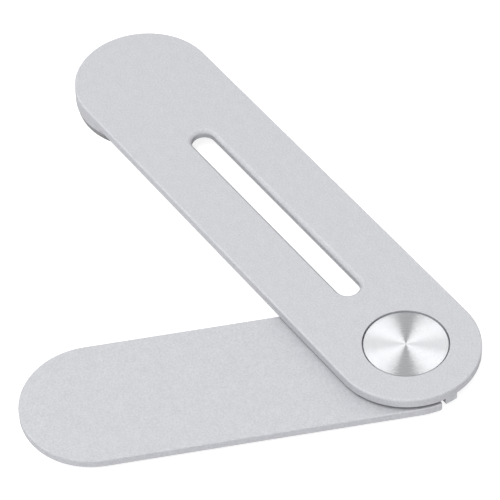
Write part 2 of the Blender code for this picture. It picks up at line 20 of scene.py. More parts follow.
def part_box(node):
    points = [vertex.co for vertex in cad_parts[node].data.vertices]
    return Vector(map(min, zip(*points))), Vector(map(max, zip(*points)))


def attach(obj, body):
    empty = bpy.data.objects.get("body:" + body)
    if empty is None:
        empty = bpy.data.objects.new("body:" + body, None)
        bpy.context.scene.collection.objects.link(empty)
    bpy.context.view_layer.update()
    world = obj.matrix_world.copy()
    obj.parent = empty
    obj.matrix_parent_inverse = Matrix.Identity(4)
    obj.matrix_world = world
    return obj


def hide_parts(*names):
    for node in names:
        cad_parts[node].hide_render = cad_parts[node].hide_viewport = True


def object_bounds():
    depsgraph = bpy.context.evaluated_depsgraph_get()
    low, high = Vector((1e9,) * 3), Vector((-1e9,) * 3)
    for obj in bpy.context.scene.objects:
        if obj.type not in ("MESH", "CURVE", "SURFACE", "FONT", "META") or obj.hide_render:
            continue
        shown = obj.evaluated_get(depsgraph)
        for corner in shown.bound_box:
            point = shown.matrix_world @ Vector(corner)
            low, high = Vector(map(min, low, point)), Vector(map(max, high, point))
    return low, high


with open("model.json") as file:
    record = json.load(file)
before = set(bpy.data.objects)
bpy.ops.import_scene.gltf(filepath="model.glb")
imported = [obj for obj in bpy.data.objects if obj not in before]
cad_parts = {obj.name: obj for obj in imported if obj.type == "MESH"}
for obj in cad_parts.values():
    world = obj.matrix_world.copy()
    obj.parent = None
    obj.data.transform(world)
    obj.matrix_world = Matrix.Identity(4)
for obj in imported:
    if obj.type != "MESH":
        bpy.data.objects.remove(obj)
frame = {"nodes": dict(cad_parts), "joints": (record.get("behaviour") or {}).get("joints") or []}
CAD_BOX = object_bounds()
NODES = frame["nodes"]
MM = 0.001
CLOSE = 0.02 * MM                   # two measures no further apart than this are the same
LEAST_WALL = 1.0 * MM               # every wall of the real pieces is thicker

# %% [markdown]
# ## Measuring the frame
#
# Nothing here is placed by eye. The pivot comes from the joint, heights come from the nodes'
# boxes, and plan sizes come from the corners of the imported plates. Both plates are drawn round
# the pivot with +X along their own length, so each body gets a matrix that carries such a drawing
# to its place. The origin is the middle of the adhesive face, which lies on the base plate's
# centre line, and that gives the base plate's direction.

# %% Pivot, directions and corners
PIVOT = Vector(frame["joints"][0]["pos_m"])
OPENING = (-PIVOT).to_2d().angle_signed(Vector((1, 0)))
PLACE = {
    "arm": Matrix.Translation(PIVOT),
    "base": Matrix.Translation(PIVOT) @ Matrix.Rotation(OPENING, 4, "Z"),
}


def corners(node, body):
    """The node's corners in the drawing of its body: x along the plate, y across it, z up."""
    raw = np.empty(len(NODES[node].data.vertices) * 3)
    NODES[node].data.vertices.foreach_get("co", raw)
    back = np.array(PLACE[body].inverted())
    return raw.reshape(-1, 3) @ back[:3, :3].T + back[:3, 3]


def level(node):
    """Lowest and highest point of a node."""
    low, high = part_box(node)
    return low.z, high.z


def within(points, column, value, margin=CLOSE):
    """The points whose value in one column lies close to the one asked for."""
    return points[np.abs(points[:, column] - value) < margin]


print(f"pivot {tuple(round(c / MM, 2) for c in PIVOT)} mm, arm opened by {degrees(OPENING):.1f} degrees")

# %% Sizes of the arm
HEEL_SHARE = 0.8                    # of the heel's radius: the counterbore lies well inside this
arm_corners = corners("arm_plate", "arm")
BOSS_BOTTOM, ARM_TOP = level("arm_plate")
PLATE_RADIUS = arm_corners[:, 1].max()
ARM_LENGTH = arm_corners[:, 0].max() - PLATE_RADIUS
middle = arm_corners[np.abs(arm_corners[:, 0] - ARM_LENGTH / 2) < ARM_LENGTH / 3]
ARM_BOTTOM = middle[:, 2].min()
slot_foot = within(middle, 2, ARM_BOTTOM)
slot_foot = slot_foot[np.abs(slot_foot[:, 1]) < PLATE_RADIUS / 2]
SLOT_RADIUS = slot_foot[:, 1].max()
on_axis = within(arm_corners, 1, 0.0, SLOT_RADIUS)
on_axis = within(on_axis, 2, ARM_BOTTOM)
on_axis = on_axis[(on_axis[:, 0] > PLATE_RADIUS) & (on_axis[:, 0] < ARM_LENGTH - PLATE_RADIUS - LEAST_WALL)]
SLOT_ENDS = on_axis[:, 0].min() + SLOT_RADIUS, on_axis[:, 0].max() - SLOT_RADIUS
arm_reach = np.hypot(arm_corners[:, 0], arm_corners[:, 1])
near_pivot = arm_reach < PLATE_RADIUS * HEEL_SHARE
round_pivot = arm_corners[near_pivot]
COUNTERBORE_RADIUS = arm_reach[near_pivot].max()
COUNTERBORE_FLOOR = round_pivot[round_pivot[:, 2] > ARM_BOTTOM + CLOSE][:, 2].min()
KEY_HALF = within(round_pivot, 2, ARM_BOTTOM)[:, 1].max()
print(f"arm {ARM_LENGTH / MM:.1f} mm long, radius {PLATE_RADIUS / MM:.1f}, "
      f"z {ARM_BOTTOM / MM:.2f} to {ARM_TOP / MM:.2f}, boss down to {BOSS_BOTTOM / MM:.2f}")
print(f"slot radius {SLOT_RADIUS / MM:.2f}, ends {SLOT_ENDS[0] / MM:.1f} and {SLOT_ENDS[1] / MM:.1f} mm")
print(f"counterbore radius {COUNTERBORE_RADIUS / MM:.2f}, floor {COUNTERBORE_FLOOR / MM:.2f}, "
      f"key {2 * KEY_HALF / MM:.2f} mm square")

# %% Sizes of the lug, the boss's pocket and the base plate
lug = arm_corners[(arm_corners[:, 0] < 0) & (arm_corners[:, 2] < ARM_BOTTOM - CLOSE)]
LUG_BOTTOM = lug[:, 2].min()
LUG_HALF = lug[:, 1].max()
LUG_INNER = lug[:, 0].max()
puck_reach = np.hypot(arm_corners[:, 0] - ARM_LENGTH, arm_corners[:, 1])
in_boss = (puck_reach < PLATE_RADIUS - LEAST_WALL) & (arm_corners[:, 2] < ARM_BOTTOM)
BOSS_POCKET_RADIUS = puck_reach[in_boss].max()
BOSS_CEILING = arm_corners[np.abs(puck_reach - BOSS_POCKET_RADIUS) < CLOSE][:, 2].max()
base_corners = corners("base_plate", "base")
BASE_BOTTOM, BASE_TOP = level("base_plate")
BASE_LENGTH = base_corners[:, 0].max() - PLATE_RADIUS
base_foot = within(base_corners, 2, BASE_BOTTOM)
base_reach = np.hypot(base_foot[:, 0], base_foot[:, 1])
base_turn = np.abs(np.arctan2(base_foot[:, 1], base_foot[:, 0]))
RELIEF_RADIUS = -base_foot[:, 0].min()
RIM_END = base_turn[(np.abs(base_reach - PLATE_RADIUS) < CLOSE) & (base_foot[:, 0] < 0)].max()
RELIEF_END = base_turn[np.abs(base_reach - RELIEF_RADIUS) < CLOSE].min()
POCKET_RADIUS = base_reach[base_reach < RELIEF_RADIUS - LEAST_WALL].max()
bore_reach = np.hypot(base_corners[:, 0], base_corners[:, 1])
BORE_RADIUS = bore_reach.min()
WEB_BOTTOM = base_corners[np.abs(bore_reach - POCKET_RADIUS) < CLOSE][:, 2].max()
print(f"lug inner face {LUG_INNER / MM:.2f}, half width {LUG_HALF / MM:.2f}, down to {LUG_BOTTOM / MM:.2f}")
print(f"boss pocket radius {BOSS_POCKET_RADIUS / MM:.2f}, ceiling {BOSS_CEILING / MM:.2f}")
print(f"base {BASE_LENGTH / MM:.1f} mm long, relief radius {RELIEF_RADIUS / MM:.2f}, shoulders at "
      f"{degrees(RIM_END):.1f} and {degrees(RELIEF_END):.1f} degrees, pocket {POCKET_RADIUS / MM:.2f}, "
      f"bore {BORE_RADIUS / MM:.2f}, web bottom {WEB_BOTTOM / MM:.2f}")

# %% [markdown]
# ## Walls, flats and turned faces
#
# Every piece here is milled, turned or stamped. A milled plate is an outline seen from above and
# an edge profile that runs round it, so one function carries a profile along a loop. The profile
# says how far the surface stands back from the outline at each height. Flats are filled between
# loops. A turned piece is a profile of radius and height that goes round its axis. A bevel
# modifier could round the edges too, but worked-out profiles keep the small radii exact, and
# they let each point carry a mark that says how close it is to a worn edge.
# On the aluminium that mark also paints a highlight along the edges.

# %% Outlines
HALF_TURN_STEPS = 72
HOLD = 0.05 * MM                    # strip of flat kept beside an edge, so its shading stays flat
SHARP_TURN = radians(20)            # a corner turns by more than this, a step of an arc by less
CORNER_STEPS = 14
SUM_STEPS = 40                      # steps per window in the running integral
CROWDING = 3                        # points closer than a step over this are thinned out


def arc(centre_x, radius, start, stop, steps=HALF_TURN_STEPS):
    """Points on an arc round (centre_x, 0): the centre plus radius times (cos, sin) of the angle."""
    angle = np.linspace(start, stop, steps + 1)
    return np.column_stack((centre_x + radius * np.cos(angle), radius * np.sin(angle)))


def circle(centre_x, radius, steps=2 * HALF_TURN_STEPS):
    """A whole circle, counter-clockwise, without its first point twice."""
    return arc(centre_x, radius, -pi / 2, 3 * pi / 2, steps)[:-1]


def strip(first_x, last_x, radius):
    """A strip with two half-round ends: half a circle round each of the two centres."""
    return np.vstack((arc(last_x, radius, -pi / 2, pi / 2), arc(first_x, radius, pi / 2, 3 * pi / 2)))


def moved_in(loop, distance):
    """The loop moved inwards along its mitres.

    With a and b the inward unit normals of a corner's two edges, the corner moves by
    distance times (a + b) / (1 + a.b).
    """
    ahead = np.roll(loop, -1, axis=0) - loop
    ahead /= np.linalg.norm(ahead, axis=1, keepdims=True)
    normal = np.column_stack((-ahead[:, 1], ahead[:, 0]))
    before = np.roll(normal, 1, axis=0)
    share = 1 + (normal * before).sum(axis=1, keepdims=True)
    return loop + distance * (normal + before) / share


def eased(loop, width):
    """The loop with its corners rounded over about the given width.

    Each new point is the average of the old line over a window of that width, centred on it.
    The window's average is the difference of the line's running integral at its two ends.
    """
    closed = np.vstack((loop, loop[:1]))
    length = np.concatenate(([0], np.cumsum(np.linalg.norm(np.diff(closed, axis=0), axis=1))))
    total = length[-1]
    fine = np.linspace(-width, total + width, int(total / (width / SUM_STEPS)))
    step = fine[1] - fine[0]
    line = np.column_stack([np.interp(fine % total, length, closed[:, axis]) for axis in (0, 1)])
    integral = np.vstack(([[0, 0]], np.cumsum((line[1:] + line[:-1]) / 2 * step, axis=0)))
    edge = loop - np.roll(loop, 1, axis=0)
    ahead = np.roll(loop, -1, axis=0) - loop
    turn = np.abs(edge[:, 0] * ahead[:, 1] - edge[:, 1] * ahead[:, 0])
    turn /= np.linalg.norm(edge, axis=1) * np.linalg.norm(ahead, axis=1)
    sharp = length[:-1][turn > sin(SHARP_TURN)]
    window = np.linspace(-width / 2, width / 2, CORNER_STEPS + 1)
    near = (sharp[:, None] + window[None, :]).ravel() % total
    at = np.sort(np.concatenate((length[:-1], near)))
    at = at[np.concatenate((np.diff(at) > width / CORNER_STEPS / CROWDING, [True]))]
    ends = [np.column_stack([np.interp(at + side * width / 2, fine, integral[:, axis])
                             for axis in (0, 1)]) for side in (-1, 1)]
    return (ends[1] - ends[0]) / width


print("outline of the arm:", len(strip(0, ARM_LENGTH, PLATE_RADIUS)), "points")

# %% Edge profiles
QUARTER_STEPS = 7
CHAMFER_PARTS = 5                   # each end of a chamfer is broken over one of this many parts
BREAK_SLOPE = 3                     # a broken edge runs this much along for one across


def rounded_edge(radius, edge, far):
    """A quarter round from the flat at height edge, then straight on to height far.

    Rows are (stand back, height, wear): along the quarter the stand back is r (1 - sin a) and the
    height moves by r (1 - cos a). Wear is the root of sin 2a: 1 half way round, 0 on the flats.
    """
    turn = np.linspace(0, pi / 2, QUARTER_STEPS + 1)
    way = np.sign(far - edge)
    back = radius * (1 - np.sin(turn))
    height = edge + way * radius * (1 - np.cos(turn))
    wear = np.sqrt(np.sin(2 * turn))
    rows = np.column_stack((back, height, wear))
    return np.vstack(([radius + HOLD, edge, 0], rows, [0, height[-1] + way * HOLD, 0], [0, far, 0]))


def edge_to_edge(top_round, top, bottom_round, bottom):
    """A wall's profile from the top flat, round both edges, to the bottom flat."""
    upper = rounded_edge(top_round, top, bottom)[:-1]
    lower = rounded_edge(bottom_round, bottom, top)[:-1][::-1]
    return np.vstack((upper, lower))


def chamfered_edge(width, top, bottom, foot):
    """A flat, a chamfer of the given width with its own edges broken, a wall and a broken foot."""
    ease = width / CHAMFER_PARTS
    upper = np.array([[width + HOLD, top, 0], [width, top, 0.2],
                      [width - ease, top - ease / BREAK_SLOPE, 0.9],
                      [ease / BREAK_SLOPE, top - width + ease, 0.9], [0, top - width, 0.3],
                      [0, top - width - HOLD, 0]])
    return np.vstack((upper, rounded_edge(foot, bottom, top)[:-1][::-1]))


print("profile rows of a wall with a rounded rim:", len(edge_to_edge(MM, MM, MM, -MM)))

# %% A shell that gathers walls and flats
WELD = 0.0005 * MM
LEAST_EDGE = WELD / 5
SHARP_EDGE = radians(32)


class Shell:
    """The faces of one piece, gathered as arrays and welded into one closed mesh at the end."""

    def __init__(self):
        self.points = []
        self.wear = []
        self.faces = []
        self.count = 0

    def add(self, points, faces, wear):
        self.points.append(points)
        self.wear.append(wear)
        self.faces.extend((faces + self.count).tolist())
        self.count += len(points)

    def wall(self, loop, profile, hole=False):
        """Carry a profile, listed from the top down, along a closed loop.

        Point (i, j) is the loop's point j, moved in by the stand back of row i, at its height.
        Round a hole the material is outside, so the loop moves the other way.
        """
        side = -1 if hole else 1
        rows = np.array([np.column_stack((moved_in(loop, side * back), np.full(len(loop), height)))
                         for back, height, _ in profile])
        across, around = rows.shape[:2]
        here = np.arange((across - 1) * around).reshape(-1, around)
        after = np.roll(here, -1, axis=1)
        quads = np.stack((here, here + around, after + around, after), axis=-1).reshape(-1, 4)
        self.add(rows.reshape(-1, 3), quads[:, ::-1] if hole else quads, np.repeat(profile[:, 2], around))

    def flat(self, loops, height, up):
        """Fill between an outer loop and the holes in it, with the faces turned up or down."""
        outline = np.vstack(loops)
        tiers = [np.column_stack((loop, np.zeros(len(loop)))).tolist() for loop in loops]
        faces = np.array(tessellate_polygon(tiers))
        a, b, c = (outline[faces[:, k]] for k in range(3))
        area = (b - a)[:, 0] * (c - a)[:, 1] - (b - a)[:, 1] * (c - a)[:, 0]
        wrong = (area < 0) == up
        faces[wrong] = faces[wrong][:, ::-1]
        self.add(np.column_stack((outline, np.full(len(outline), height))), faces, np.zeros(len(outline)))

    def turned(self, profile, centre_x=0.0, steps=2 * HALF_TURN_STEPS, shape=None):
        """Turn a profile of (radius, height, wear) rows round the axis at centre_x.

        Point (i, j) is radius i in the direction of angle j. The profile runs down the outside,
        from the top to the bottom. shape, if given, changes the grid of radii by angle and height.
        """
        angle = np.linspace(0, 2 * pi, steps, endpoint=False)
        radius = np.repeat(profile[:, :1], steps, axis=1)
        height = np.repeat(profile[:, 1:2], steps, axis=1)
        if shape:
            radius = shape(radius, angle[None, :], height)
        grid = np.stack((centre_x + radius * np.cos(angle), radius * np.sin(angle), height), axis=-1)
        here = np.arange((len(profile) - 1) * steps).reshape(-1, steps)
        after = np.roll(here, -1, axis=1)
        quads = np.stack((here, here + steps, after + steps, after), axis=-1).reshape(-1, 4)
        self.add(grid.reshape(-1, 3), quads, np.repeat(profile[:, 2], steps))

    def piece(self, name, body, finish, slot, *nodes):
        """Weld, place and finish the piece, and let it stand for its nodes."""
        mesh = bpy.data.meshes.new(name)
        mesh.from_pydata(np.vstack(self.points).tolist(), [], self.faces)
        mesh.attributes.new("wear", "FLOAT", "POINT").data.foreach_set("value", np.concatenate(self.wear))
        merged = bmesh.new()
        merged.from_mesh(mesh)
        bmesh.ops.remove_doubles(merged, verts=merged.verts, dist=WELD)
        bmesh.ops.dissolve_degenerate(merged, edges=merged.edges, dist=LEAST_EDGE)
        open_edges = sum(not edge.is_contiguous for edge in merged.edges)
        merged.to_mesh(mesh)
        merged.free()
        mesh.transform(PLACE[body])
        mesh.shade_smooth()
        mesh.set_sharp_from_angle(angle=SHARP_EDGE)
        made = bpy.data.objects.new(name, mesh)
        bpy.context.scene.collection.objects.link(made)
        mesh.materials.append(finish)
        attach(made, body)
        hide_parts(*nodes)
        print(f"{name}: {len(mesh.polygons)} faces, {open_edges} open edges")
        return made

# %% [markdown]
# ## Finishes
#
# The plates are blasted with fine beads and then anodised, which leaves a silvery skin with a
# grain of about a third of a millimetre and hardly any gloss. The pivot's cap is turned on a
# lathe, so its grooves run in circles and catch the light in a fan. Everything else is steel,
# plastic, silicone or foam. Effects that several finishes share are node groups: a grain, an edge
# wear, turning rings and the marks of handling. They read Object coordinates in metres, so they
# keep their real scale on every piece.
# On the aluminium the edge group paints a highlight along the rounded edges as well as their wear.

# %% Placing nodes
def put(tree, kind, inputs=None, **settings):
    """A new node, with its settings, and with each input linked to a socket or set to a value."""
    made = tree.nodes.new(kind)
    for key, value in settings.items():
        setattr(made, key, value)
    for key, value in (inputs or {}).items():
        if isinstance(value, bpy.types.NodeSocket):
            tree.links.new(value, made.inputs[key])
        else:
            made.inputs[key].default_value = value
    return made


def maths(tree, operation, first, second=0.0, third=0.0):
    """A Math node's output."""
    return put(tree, "ShaderNodeMath", {0: first, 1: second, 2: third}, operation=operation).outputs[0]


def spread(tree, value, low, high, start=0.0, stop=1.0):
    """A value between start and stop mapped onto the range from low to high."""
    return put(tree, "ShaderNodeMapRange", {"Value": value, "From Min": start, "From Max": stop,
                                            "To Min": low, "To Max": high}).outputs["Result"]


def blend(tree, factor, first, second):
    """A colour between two others."""
    mix = put(tree, "ShaderNodeMix", {0: factor}, data_type="RGBA")
    for place, colour in ((6, first), (7, second)):
        if isinstance(colour, bpy.types.NodeSocket):
            tree.links.new(colour, mix.inputs[place])
        else:
            mix.inputs[place].default_value = (*colour, 1.0)
    return mix.outputs[2]


def group(name, inputs, outputs):
    """A new group with its sockets. Returns the tree, its input sockets and its output node."""
    tree = bpy.data.node_groups.new(name, "ShaderNodeTree")
    for label, kind, value in inputs:
        socket = tree.interface.new_socket(label, in_out="INPUT", socket_type=kind)
        socket.default_value = value
    for label, kind in outputs:
        tree.interface.new_socket(label, in_out="OUTPUT", socket_type=kind)
    return tree, tree.nodes.new("NodeGroupInput").outputs, tree.nodes.new("NodeGroupOutput").inputs


def noise(tree, scale, detail=2.0, vector=None, rough=0.5):
    """Noise on Object coordinates unless a vector is given, with its size as a scale per metre."""
    if vector is None:
        vector = put(tree, "ShaderNodeTexCoord").outputs["Object"]
    return put(tree, "ShaderNodeTexNoise", {"Vector": vector, "Scale": scale, "Detail": detail,
                                            "Roughness": rough}).outputs["Fac"]


# %% Group: fine grain
def make_fine_grain():
    """Speckle of one size over blotches of another. Shade is about 0 to 1, with a mean of 0.5."""
    tree, given, result = group("Fine grain", (
        ("Speckle Scale", "NodeSocketFloat", 2600.0), ("Blotch Scale", "NodeSocketFloat", 330.0),
        ("Blotch Share", "NodeSocketFloat", 0.35)), (
        ("Shade", "NodeSocketFloat"), ("Height", "NodeSocketFloat")))
    speckle = spread(tree, noise(tree, given["Speckle Scale"], 2.0, rough=0.6), 0, 1, 0.3, 0.7)
    blotch = spread(tree, noise(tree, given["Blotch Scale"], 3.0), 0, 1, 0.3, 0.7)
    keep = maths(tree, "SUBTRACT", 1.0, given["Blotch Share"])
    shade = maths(tree, "MULTIPLY_ADD", blotch, given["Blotch Share"], maths(tree, "MULTIPLY", speckle, keep))
    tree.links.new(shade, result["Shade"])
    tree.links.new(speckle, result["Height"])
    return tree


# %% Group: edge wear
def make_edge_wear_and_highlight():
    """Where an edge is rubbed, and on the aluminium a painted highlight too: the mark on the rounded edges,
    broken up by a noise.
    """
    tree, given, result = group("Edge wear and highlight", (
        ("Amount", "NodeSocketFloat", 0.5), ("Break-up Scale", "NodeSocketFloat", 700.0)),
        (("Mask", "NodeSocketFloat"),))
    mark = put(tree, "ShaderNodeAttribute", attribute_name="wear").outputs["Fac"]
    ragged = spread(tree, noise(tree, given["Break-up Scale"], 3.0), 0.25, 1.0, 0.35, 0.6)
    tree.links.new(maths(tree, "MULTIPLY", maths(tree, "MULTIPLY", mark, ragged), given["Amount"]),
                   result["Mask"])
    return tree


# %% Group: turning rings
def make_turning_rings():
    """Tool marks in circles round a centre: a noise that reads only the distance to the axis."""
    tree, given, result = group("Turning rings", (
        ("Centre", "NodeSocketVector", (0.0, 0.0, 0.0)), ("Rings per Metre", "NodeSocketFloat", 4000.0),
        ("Grooves per Metre", "NodeSocketFloat", 10000.0)), (
        ("Shade", "NodeSocketFloat"), ("Grooves", "NodeSocketFloat")))
    place = put(tree, "ShaderNodeTexCoord").outputs["Object"]
    offset = put(tree, "ShaderNodeVectorMath", {0: place, 1: given["Centre"]}, operation="SUBTRACT")
    parts = put(tree, "ShaderNodeSeparateXYZ", {0: offset.outputs[0]}).outputs
    reach = maths(tree, "SQRT", maths(tree, "MULTIPLY_ADD", parts["X"], parts["X"],
                                      maths(tree, "MULTIPLY", parts["Y"], parts["Y"])))
    line = put(tree, "ShaderNodeCombineXYZ", {"X": reach}).outputs[0]
    rings = noise(tree, given["Rings per Metre"], 3.0, line, 0.7)
    grooves = maths(tree, "PINGPONG", maths(tree, "MULTIPLY", reach, given["Grooves per Metre"]), 0.5)
    tree.links.new(spread(tree, rings, 0, 1, 0.3, 0.7), result["Shade"])
    tree.links.new(grooves, result["Grooves"])
    return tree


# %% Group: handling marks
FINER = 9.0                         # the skin's own pattern in a smear against the smear's width


def make_handling_marks():
    """Soft smears a few millimetres wide, where fingers have left the surface less even."""
    tree, given, result = group("Handling marks", (("Smear Scale", "NodeSocketFloat", 90.0),),
                                (("Mask", "NodeSocketFloat"),))
    broad = spread(tree, noise(tree, given["Smear Scale"], 2.0), 0, 1, 0.45, 0.7)
    fine_scale = maths(tree, "MULTIPLY", given["Smear Scale"], FINER)
    fine = spread(tree, noise(tree, fine_scale, 3.0), 0.4, 1, 0.3, 0.7)
    tree.links.new(maths(tree, "MULTIPLY", broad, fine), result["Mask"])
    return tree


GRAIN, WEAR_AND_HIGHLIGHT = make_fine_grain(), make_edge_wear_and_highlight()
RINGS, MARKS = make_turning_rings(), make_handling_marks()
print("groups:", ", ".join(tree.name for tree in (GRAIN, WEAR_AND_HIGHLIGHT, RINGS, MARKS)))


# %% A finish and what goes into it
def finish(name, **constants):
    """A new material. Returns it, its tree and its Principled shader, with plain values set."""
    made = bpy.data.materials.new(name)
    made.use_nodes = True
    shader = made.node_tree.nodes["Principled BSDF"]
    for label, value in constants.items():
        shader.inputs[label.replace("_", " ")].default_value = value
    return made, made.node_tree, shader


def use(tree, source, **values):
    """Place a group, with its inputs set by name."""
    placed = put(tree, "ShaderNodeGroup", node_tree=source)
    for label, value in values.items():
        placed.inputs[label.replace("_", " ")].default_value = value
    return placed.outputs


def bump(tree, shader, height, distance, strength=1.0, filter_width=0.1):
    """Feed a height into the shader's normal. The distance is the relief in metres."""
    relief = put(tree, "ShaderNodeBump", {"Height": height, "Distance": distance, "Strength": strength,
                                          "Filter Width": filter_width})
    tree.links.new(relief.outputs["Normal"], shader.inputs["Normal"])


def painted(tree, shader, colour, rough):
    """Feed colour and roughness."""
    tree.links.new(colour, shader.inputs["Base Color"])
    tree.links.new(rough, shader.inputs["Roughness"])


# %% Finish: blasted and anodised aluminium
ALUMINIUM_DARK = (0.475, 0.48, 0.505)
ALUMINIUM_LIGHT = (0.59, 0.595, 0.62)
# edge colour: thin skin on the edges, and a painted highlight on the rounded rims and chamfers
ALUMINIUM_EDGE_WEAR_AND_HIGHLIGHT = (0.68, 0.685, 0.71)
BLAST_RELIEF = 0.012 * MM


def anodised_finish():
    """Silver skin, grain of a third of a millimetre, edges a little brighter where it is thin, with a painted
    highlight.
    """
    made, tree, shader = finish("blasted anodised aluminium", Metallic=0.3)
    grain = use(tree, GRAIN, Speckle_Scale=2300.0, Blotch_Scale=420.0, Blotch_Share=0.2)
    wear_and_highlight = use(tree, WEAR_AND_HIGHLIGHT, Amount=0.12)
    marks = use(tree, MARKS, Smear_Scale=45.0)
    skin = blend(tree, grain["Shade"], ALUMINIUM_DARK, ALUMINIUM_LIGHT)
    # rounded rims and chamfers painted lighter: wear of the thin skin and a painted highlight
    colour = blend(tree, wear_and_highlight["Mask"], skin, ALUMINIUM_EDGE_WEAR_AND_HIGHLIGHT)
    smeared = maths(tree, "MULTIPLY_ADD", marks["Mask"], -0.03, spread(tree, grain["Shade"], 0.60, 0.52))
    painted(tree, shader, colour, maths(tree, "MULTIPLY_ADD", wear_and_highlight["Mask"], -0.12, smeared))
    bump(tree, shader, grain["Height"], BLAST_RELIEF, 0.6)
    return made


# %% Finish: turned cap
GROOVE_PITCH = 0.04 * MM
GROOVE_SLOPE = radians(18)
GROOVE_DEPTH = GROOVE_PITCH * tan(GROOVE_SLOPE)
GROOVE_FILTER = 0.02                # narrow enough for the relief to keep its slope at this pitch
CAP_METAL = (0.87, 0.88, 0.905), (0.94, 0.95, 0.97)


def turned_finish():
    """Bright metal with grooves in circles: gloss spreads across them and stays tight along them."""
    made, tree, shader = finish("turned cap metal", Metallic=1.0, Anisotropic=0.95,
                                Anisotropic_Rotation=0.25)
    rings = use(tree, RINGS, Centre=PIVOT, Rings_per_Metre=5200.0, Grooves_per_Metre=1 / GROOVE_PITCH)
    tangent = put(tree, "ShaderNodeTangent", direction_type="RADIAL", axis="Z").outputs["Tangent"]
    tree.links.new(tangent, shader.inputs["Tangent"])
    colour = blend(tree, rings["Shade"], *CAP_METAL)
    painted(tree, shader, colour, spread(tree, rings["Shade"], 0.30, 0.22))
    bump(tree, shader, rings["Grooves"], GROOVE_DEPTH, filter_width=GROOVE_FILTER)
    return made


# %% Finish: plated and hardened steels
BRIGHT_STEEL = (0.86, 0.86, 0.87)
BARREL_RELIEF = 0.006 * MM


def steel_finish(name, dark, light, rough_low, rough_high, speckle):
    """Barrelled steel: fine grain, thin smears, and bright edges."""
    made, tree, shader = finish(name, Metallic=1.0)
    grain = use(tree, GRAIN, Speckle_Scale=speckle, Blotch_Scale=500.0, Blotch_Share=0.5)
    wear_and_highlight = use(tree, WEAR_AND_HIGHLIGHT, Amount=0.7)
    marks = use(tree, MARKS, Smear_Scale=160.0)
    skin = blend(tree, grain["Shade"], dark, light)
    colour = blend(tree, wear_and_highlight["Mask"], skin, BRIGHT_STEEL)
    even = spread(tree, grain["Shade"], rough_low, rough_high)
    painted(tree, shader, colour, maths(tree, "MULTIPLY_ADD", marks["Mask"], 0.1, even))
    bump(tree, shader, grain["Height"], BARREL_RELIEF, 0.5)
    return made


# %% Finish: moulded plastic, silicone and foam
RUBBED = 2.2                        # a rubbed edge against the finish's light colour


def soft_finish(name, dark, light, rough, speckle, relief, **constants):
    """A dull moulded or cut surface: speckle, faint smears and a relief of its own depth."""
    made, tree, shader = finish(name, Metallic=0.0, **constants)
    grain = use(tree, GRAIN, Speckle_Scale=speckle, Blotch_Scale=speckle / 8, Blotch_Share=0.35)
    wear_and_highlight = use(tree, WEAR_AND_HIGHLIGHT, Amount=0.35)
    marks = use(tree, MARKS, Smear_Scale=70.0)
    skin = blend(tree, grain["Shade"], dark, light)
    colour = blend(tree, wear_and_highlight["Mask"], skin, tuple(RUBBED * part for part in light))
    even = spread(tree, grain["Shade"], rough + 0.05, rough - 0.05)
    painted(tree, shader, colour, maths(tree, "MULTIPLY_ADD", marks["Mask"], -0.08, even))
    bump(tree, shader, grain["Height"], relief, 0.7)
    return made


ANODISED = anodised_finish()
TURNED = turned_finish()
ZINC = steel_finish("zinc plated steel", (0.50, 0.51, 0.53), (0.66, 0.67, 0.69), 0.36, 0.26, 2200.0)
SPRING = steel_finish("hardened spring steel", (0.16, 0.17, 0.20), (0.27, 0.28, 0.31), 0.42, 0.30, 1800.0)
NICKEL = steel_finish("nickel plate", (0.64, 0.62, 0.58), (0.74, 0.72, 0.68), 0.22, 0.14, 1500.0)
PLASTIC = soft_finish("moulded dark plastic", (0.040, 0.041, 0.045), (0.060, 0.061, 0.066),
                      0.45, 3000.0, 0.02 * MM)
CARRIER = soft_finish("moulded grey plastic", (0.20, 0.202, 0.208), (0.26, 0.262, 0.268),
                      0.50, 3000.0, 0.02 * MM)
SILICONE = soft_finish("soft silicone", (0.15, 0.152, 0.157), (0.19, 0.192, 0.197),
                       0.62, 4200.0, 0.01 * MM, Sheen_Weight=0.3, Sheen_Roughness=0.5)
FOAM = soft_finish("acrylic foam tape", (0.030, 0.031, 0.034), (0.065, 0.066, 0.070),
                   0.80, 1500.0, 0.08 * MM)
FINISHES = ANODISED, TURNED, ZINC, SPRING, NICKEL, PLASTIC, CARRIER, SILICONE, FOAM
print("finishes:", ", ".join(made.name for made in FINISHES))

# %% [markdown]
# ## The arm
#
# The real arm is one milled plate. Its upper rim is rounded, while the slot has a wide bright
# chamfer of a millimetre, so that a thumb slides along it. The boss under the far end stands in
# one surface with the rim, so no seam shows there, and the little lug under the heel does the
# same. A Boolean of a rounded plate with a boss would leave a crease in that surface. Here the
# plate's wall, the boss's wall and the lug's wall share the same points of the outline, so the
# rim runs straight on down.

# %% Outline of the arm, the boss and the lug
LUG_TURN = asin(LUG_HALF / PLATE_RADIUS)
LUG_STEPS = 6
EDGE_ROUND = 0.5 * MM
EDGE_BREAK = 0.12 * MM


def arm_outline():
    """The strip, with its heel's arc cut in three so that the lug's flanks fall on points."""
    side_steps = HALF_TURN_STEPS // 2
    return np.vstack((arc(ARM_LENGTH, PLATE_RADIUS, -pi / 2, pi / 2),
                      arc(0, PLATE_RADIUS, pi / 2, pi - LUG_TURN, side_steps),
                      arc(0, PLATE_RADIUS, pi - LUG_TURN, pi + LUG_TURN, LUG_STEPS)[1:-1],
                      arc(0, PLATE_RADIUS, pi + LUG_TURN, 3 * pi / 2, side_steps)))


def lug_outline():
    """The lug from above: the rim's arc between its flanks, then two inner corners."""
    rim = arc(0, PLATE_RADIUS, pi - LUG_TURN, pi + LUG_TURN, LUG_STEPS)
    return np.vstack((rim, [[LUG_INNER, -LUG_HALF], [LUG_INNER, LUG_HALF]]))


